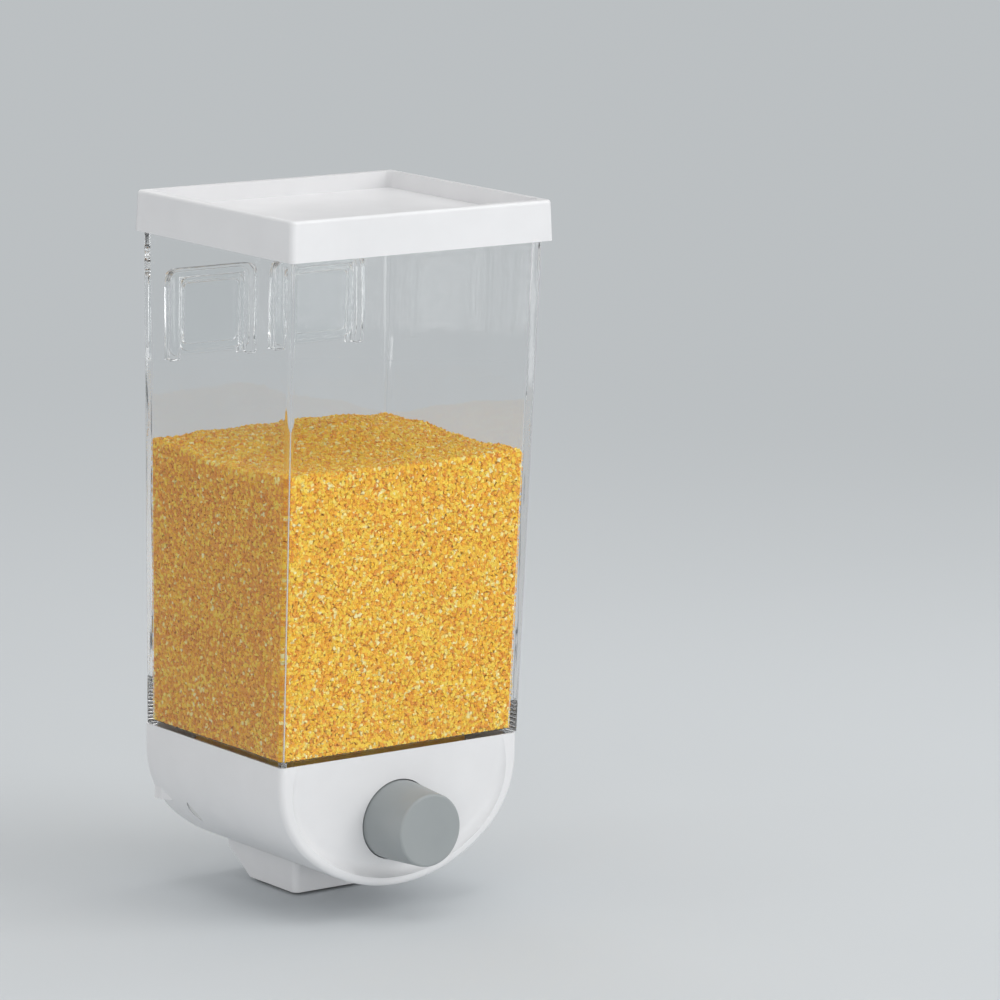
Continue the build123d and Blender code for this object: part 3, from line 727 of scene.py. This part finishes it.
def neck_filling():
    """Grits in the neck, the funnel and the throat, as levels of (height, half width, front, back)."""
    seal_low, seal_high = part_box("throat_seal")
    collar_end = hopper_low.z + above_collar
    spaces = {space["name"]: space["box_m"] for space in frame["record"]["physics"]["openings"]}

    def footprint(name, room=wall_clearance):
        low, high = spaces[name]
        return high[0] - room, low[1] + room, high[1] - room

    throat, funnel = footprint("throat"), footprint("funnel_mouth")
    neck = footprint("hopper_neck", neck_room)
    levels = [(seal_low.z + above_gate, *throat), (seal_high.z + above_seal, *throat),
              (collar_end - slope_top, *funnel), (collar_end, *funnel),
              (collar_end, *neck), (ledge_top + neck_top, *neck)]
    clear_selection()
    bpy.ops.mesh.primitive_plane_add(size=2)
    filling = bpy.context.object
    filling.name = filling.data.name = "grits_neck"
    start_editing()
    bpy.ops.mesh.subdivide(number_cuts=grid_cuts)
    for _ in levels[1:]:
        bpy.ops.mesh.extrude_region_move(TRANSFORM_OT_translate={"value": (0, 0, 1)})
    bpy.ops.mesh.normals_make_consistent(inside=False)
    stop_editing()
    for vertex in filling.data.vertices:
        height, half, front, back = levels[round(vertex.co.z)]
        across, along = vertex.co.x, vertex.co.y
        vertex.co = (across * half, (front + back) / 2 + along * (back - front) / 2, height)
    tint_core(filling, filling_seed)
    print("filling with", len(filling.data.polygons), "faces")
    return filling


heap_pieces.append(heap_core())
heap_pieces.append(neck_filling())
for piece in heap_pieces:
    piece.data.materials.append(corn)
    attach(piece, "dispenser")

# %% [markdown]
# ## The return spring
# The spring is a coil of round wire between the button's inner face and the bulkhead behind it. A small
# circle turned and carried along by the Screw modifier draws it.

# %% Wind the return spring
spring_low, spring_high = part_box("return_spring")
wire = 0.9 * mm
wire_sides = 12
coil_turns, steps_per_turn = 9, 24


def wind_spring():
    length = spring_high.y - spring_low.y - wire
    centre_x = (spring_low.x + spring_high.x) / 2
    centre_z = (spring_low.z + spring_high.z) / 2
    radius = (spring_high.x - spring_low.x) / 2 - wire / 2
    clear_selection()
    bpy.ops.mesh.primitive_circle_add(vertices=wire_sides, radius=wire / 2)
    spring = bpy.context.object
    spring.name = spring.data.name = "coil_spring"
    start_editing()
    bpy.ops.transform.translate(value=(radius, 0, 0))
    stop_editing()
    screw = spring.modifiers.new("wind", "SCREW")
    screw.axis = "Y"
    screw.angle = 2 * math.pi * coil_turns
    screw.screw_offset = length
    screw.steps = screw.render_steps = steps_per_turn * coil_turns
    bpy.ops.object.modifier_apply(modifier=screw.name)
    bpy.ops.object.mode_set(mode="EDIT")
    bpy.ops.mesh.select_all(action="DESELECT")
    bpy.ops.mesh.select_mode(type="EDGE")
    bpy.ops.mesh.select_non_manifold()
    bpy.ops.mesh.edge_face_add()
    bpy.ops.mesh.select_all(action="SELECT")
    bpy.ops.mesh.normals_make_consistent(inside=False)
    stop_editing()
    bpy.ops.object.shade_smooth()
    spring.data.transform(Matrix.Translation((centre_x, spring_low.y + wire / 2, centre_z)))
    return spring


spring = wind_spring()
spring.data.materials.append(spring_steel)
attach(spring, "dispenser")
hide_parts("return_spring")
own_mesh(spring)
low = np.array([v.co for v in spring.data.vertices]).min(0)
high = np.array([v.co for v in spring.data.vertices]).max(0)
print("spring from", low.round(4), "to", high.round(4), "frame", spring_low, spring_high)

# %% [markdown]
# ## Floor, lamps and background
# A large soft key lamp stands to the right front, so that the front is bright and the left side quieter.
# A weak fill, a high lamp, a low wide one and one behind keep the shadows open, and three tall strips draw
# thin lines on the clear edges. The lamps are wide, so that their mirror images in the walls stay mild.
#
# The sky is a pale cool grey to the eye, plain white light to the object, and a dimmer room in the
# reflections, so that the polished walls don't veil the grits. Round the object the floor is a real one
# that takes its shadow. Further out it goes over to the sky's grey, so that there is no horizon, and from
# below it is clear, so that the underside can be seen.

# %% Add the floor and the lamps
centre = (cad_box[0] + cad_box[1]) / 2
floor_z = cad_box[0].z - 1 * mm
floor_size, floor_blotch, floor_roughness = 12, 0.4, 0.9
floor_colour, floor_faint_share = (0.62, 0.65, 0.67), 0.98
pale = (0.50, 0.525, 0.54)
floor_near, floor_far = 0.3, 1.2
mirrored_colour = (0.16, 0.167, 0.172)
mirrored_near, mirrored_far = 0.06, 0.35
sky_strength = 0.55


def calculate(tree, operation, first, second):
    math_node = tree.nodes.new("ShaderNodeMath")
    math_node.operation = operation
    for value, socket in zip((first, second), math_node.inputs):
        tree.links.new(value, socket)
    return math_node.outputs[0]


def ray_kinds(tree):
    """Two masks: a ray that shows the backdrop straight or through clear plastic, and a mirrored one."""
    path = tree.nodes.new("ShaderNodeLightPath")
    through = path.outputs["Is Transmission Ray"]
    straight = calculate(tree, "MAXIMUM", path.outputs["Is Camera Ray"], through)
    mirrored = calculate(tree, "GREATER_THAN", path.outputs["Is Glossy Ray"], through)
    return straight, mirrored


def floor_finish():
    material, tree, shader, place = start_finish("pale_floor")
    faint = [c * floor_faint_share for c in floor_colour]
    shade = two_tones(tree, add_noise(tree, place, floor_blotch), faint, floor_colour)
    tree.links.new(shade, shader.inputs["Base Color"])
    shader.inputs["Roughness"].default_value = floor_roughness
    reach = tree.nodes.new("ShaderNodeVectorMath")
    reach.operation = "DISTANCE"
    reach.inputs[1].default_value = (centre.x, centre.y, floor_z)
    tree.links.new(place, reach.inputs[0])
    straight, mirrored = ray_kinds(tree)
    surface = shader.outputs["BSDF"]
    for rays, colour, near, far in ((straight, pale, floor_near, floor_far),
                                    (mirrored, mirrored_colour, mirrored_near, mirrored_far)):
        spread = tree.nodes.new("ShaderNodeMapRange")
        spread.interpolation_type = "SMOOTHSTEP"
        spread.inputs["From Min"].default_value = near
        spread.inputs["From Max"].default_value = far
        tree.links.new(reach.outputs["Value"], spread.inputs["Value"])
        haze = tree.nodes.new("ShaderNodeEmission")
        haze.inputs["Color"].default_value = (*colour, 1)
        share = calculate(tree, "MULTIPLY", spread.outputs["Result"], rays)
        surface = mix_shaders(tree, share, surface, haze.outputs["Emission"])
    side = tree.nodes.new("ShaderNodeNewGeometry").outputs["Backfacing"]
    clear = tree.nodes.new("ShaderNodeBsdfTransparent").outputs["BSDF"]
    set_surface(tree, mix_shaders(tree, side, surface, clear))
    return material


def add_floor():
    clear_selection()
    bpy.ops.mesh.primitive_plane_add(size=floor_size)
    floor = bpy.context.object
    floor.name = floor.data.name = "floor"
    floor.data.transform(Matrix.Translation((centre.x, centre.y, floor_z)))
    floor.data.materials.append(floor_finish())


def add_lamp(name, direction, distance, width, height, watts):
    """An area lamp that faces the object's centre."""
    data = bpy.data.lights.new(name, "AREA")
    data.shape = "RECTANGLE"
    data.size = width
    data.size_y = height
    data.energy = watts
    lamp = bpy.data.objects.new(name, data)
    bpy.context.scene.collection.objects.link(lamp)
    away = Vector(direction).normalized()
    lamp.location = centre + away * distance
    lamp.rotation_euler = away.to_track_quat("Z", "Y").to_euler()


def set_sky():
    world = bpy.data.worlds.new("sky")
    bpy.context.scene.world = world
    world.use_nodes = True
    tree = world.node_tree
    tree.nodes.clear()
    output = tree.nodes.new("ShaderNodeOutputWorld")
    straight, mirrored = ray_kinds(tree)
    light = tree.nodes.new("ShaderNodeBackground")
    light.inputs["Color"].default_value = (1, 1, 1, 1)
    light.inputs["Strength"].default_value = sky_strength
    surface = light.outputs["Background"]
    for rays, colour in ((straight, pale), (mirrored, mirrored_colour)):
        backdrop = tree.nodes.new("ShaderNodeBackground")
        backdrop.inputs["Color"].default_value = (*colour, 1)
        surface = mix_shaders(tree, rays, surface, backdrop.outputs["Background"])
    tree.links.new(surface, output.inputs["Surface"])


# each lamp's name, direction, distance, width, height and watts
lamps = [
    ("key_lamp", (0.75, -1.0, 0.75), 1.6, 1.2, 1.2, 8.4),
    ("fill_lamp", (-1.0, -0.5, 0.35), 2.0, 1.2, 1.2, 1.4),
    ("high_lamp", (0.0, -0.1, 1.0), 1.7, 1.5, 1.5, 8.5),
    ("low_lamp", (0.1, -1.0, 0.0), 1.7, 1.4, 0.2, 3),
    ("back_lamp", (0.3, 1.0, 0.5), 1.8, 1.0, 1.0, 3),
    ("corner_strip", (-0.75, -1.0, 0.05), 1.3, 0.2, 0.9, 1.8),
    ("left_strip", (-1.0, 0.25, 0.1), 1.2, 0.2, 1.2, 1.3),
    ("right_strip", (1.0, 0.1, 0.1), 1.2, 0.24, 1.2, 1.4),
]
add_floor()
for lamp in lamps:
    add_lamp(*lamp)
set_sky()
bpy.context.scene.view_settings.view_transform = "Standard"

# %% [markdown]
# ## Light through many walls
# A look through the hopper's front, its back, a hook and its pad crosses a dozen surfaces. At a corner,
# light also runs along inside a wall and is mirrored by its two faces a dozen times before it leaves,
# and each mirroring counts as a glossy bounce. With the usual limit of four the corners turn black.

# %% Lengthen the light paths
most_bounces, most_of_a_kind = 40, 32
cycles = bpy.context.scene.cycles
cycles.max_bounces = most_bounces
cycles.transmission_bounces = most_of_a_kind
cycles.glossy_bounces = most_of_a_kind
cycles.transparent_max_bounces = most_of_a_kind
